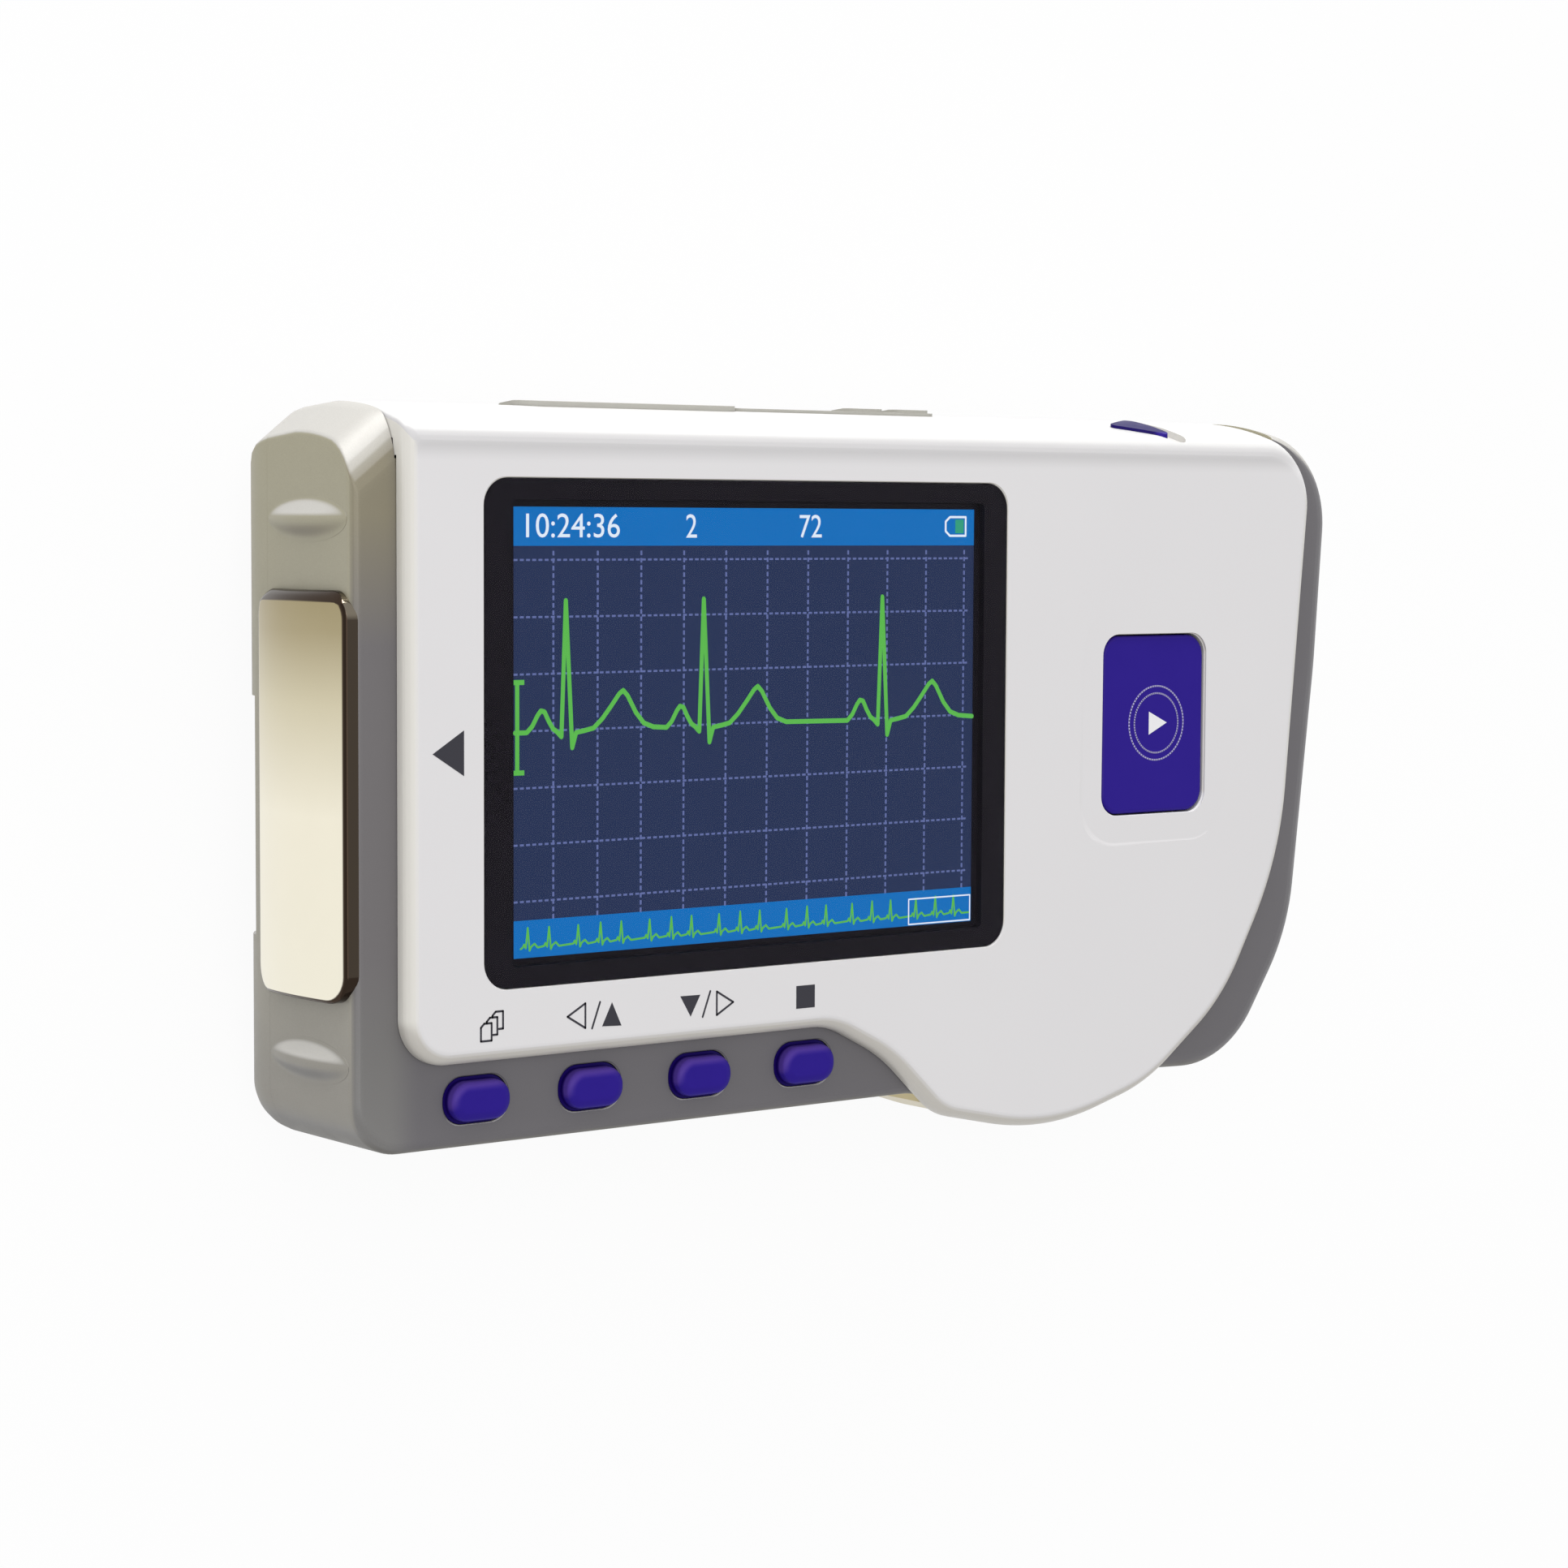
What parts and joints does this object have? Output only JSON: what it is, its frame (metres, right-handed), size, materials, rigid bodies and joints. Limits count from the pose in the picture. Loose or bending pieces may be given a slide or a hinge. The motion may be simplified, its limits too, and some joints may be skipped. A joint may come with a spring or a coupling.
{
  "type": "portable ecg machine",
  "caption": "Hand-held heart recorder with a lobed grip, colour display, record key, oval keys, finger contacts, capped data socket and battery door.",
  "frame": {"origin": "centre of the bounding box in plan, at the flat back", "axes": "+X along the case from the end contact to the grip, +Y up the face, +Z out of the face"},
  "size_m": [0.1258, 0.073, 0.025],
  "materials": {
    "white_plastic": "satin white shell",
    "grey_plastic": "fine matt champagne grey",
    "soft_grey": "soft matt grey",
    "dark_window": "glossy tinted window with a dark border",
    "screen_blue": "display module",
    "violet_key": "satin violet key",
    "polished_metal": "bright champagne metal",
    "gold_metal": "gold-coloured contact",
    "steel": "plain plated steel",
    "board_green": "circuit board",
    "black_plastic": "moulded black plastic",
    "ribbon_amber": "flat amber cable",
    "cell_jacket": "dark printed jacket"
  },
  "bodies": {
    "case": {"front_cover": "white_plastic", "main_housing": "grey_plastic", "rear_cover": "grey_plastic", "screen_window": "dark_window", "display_panel": "screen_blue", "display_frame": "black_plastic", "display_ribbon": "ribbon_amber", "main_board": "board_green", "record_switch": "black_plastic", "menu_switch": "black_plastic", "left_up_switch": "black_plastic", "right_down_switch": "black_plastic", "stop_switch": "black_plastic", "power_switch_body": "steel", "end_electrode": "polished_metal", "finger_electrode": "gold_metal", "data_socket": "steel", "cap_strap": "soft_grey", "sounder": "black_plastic", "battery_1": "cell_jacket", "battery_2": "cell_jacket", "bridge_plate": "steel", "positive_plate": "steel", "negative_plate": "steel", "bridge_spring": "steel", "negative_spring": "steel", "end_lead_spring": "steel", "finger_lead_spring": "steel", "case_screw_1": "steel", "case_screw_2": "steel", "case_screw_3": "steel", "case_screw_4": "steel"},
    "record_button": {"record_key": "violet_key"},
    "menu_button": {"menu_key": "violet_key"},
    "left_up_button": {"left_up_key": "violet_key"},
    "right_down_button": {"right_down_key": "violet_key"},
    "stop_button": {"stop_key": "violet_key"},
    "power_slider": {"power_switch": "violet_key"},
    "door": {"battery_door": "grey_plastic"},
    "cap": {"socket_cap": "soft_grey"}
  },
  "joints": [
    {"name": "record_press", "type": "slide", "parent": "case", "child": "record_button", "axis": [0, 0, -1], "range_m": [0, 0.0005], "stiffness_N_per_m": 2000},
    {"name": "menu_press", "type": "slide", "parent": "case", "child": "menu_button", "axis": [0, 0, -1], "range_m": [0, 0.0006], "stiffness_N_per_m": 1500},
    {"name": "left_up_press", "type": "slide", "parent": "case", "child": "left_up_button", "axis": [0, 0, -1], "range_m": [0, 0.0006], "stiffness_N_per_m": 1500},
    {"name": "right_down_press", "type": "slide", "parent": "case", "child": "right_down_button", "axis": [0, 0, -1], "range_m": [0, 0.0006], "stiffness_N_per_m": 1500},
    {"name": "stop_press", "type": "slide", "parent": "case", "child": "stop_button", "axis": [0, 0, -1], "range_m": [0, 0.0006], "stiffness_N_per_m": 1500},
    {"name": "power_slide", "type": "slide", "parent": "case", "child": "power_slider", "axis": [1, 0, 0], "range_m": [0, 0.002]},
    {"name": "door_slide", "type": "slide", "parent": "case", "child": "door", "axis": [-1, 0, 0], "range_m": [0, 0.01]},
    {"name": "cap_hinge", "type": "hinge", "parent": "case", "child": "cap", "pos_m": [-0.01248, 0.03638, 0.01255], "axis": [0, 0, -1], "range_deg": [0, 110]}
  ]
}
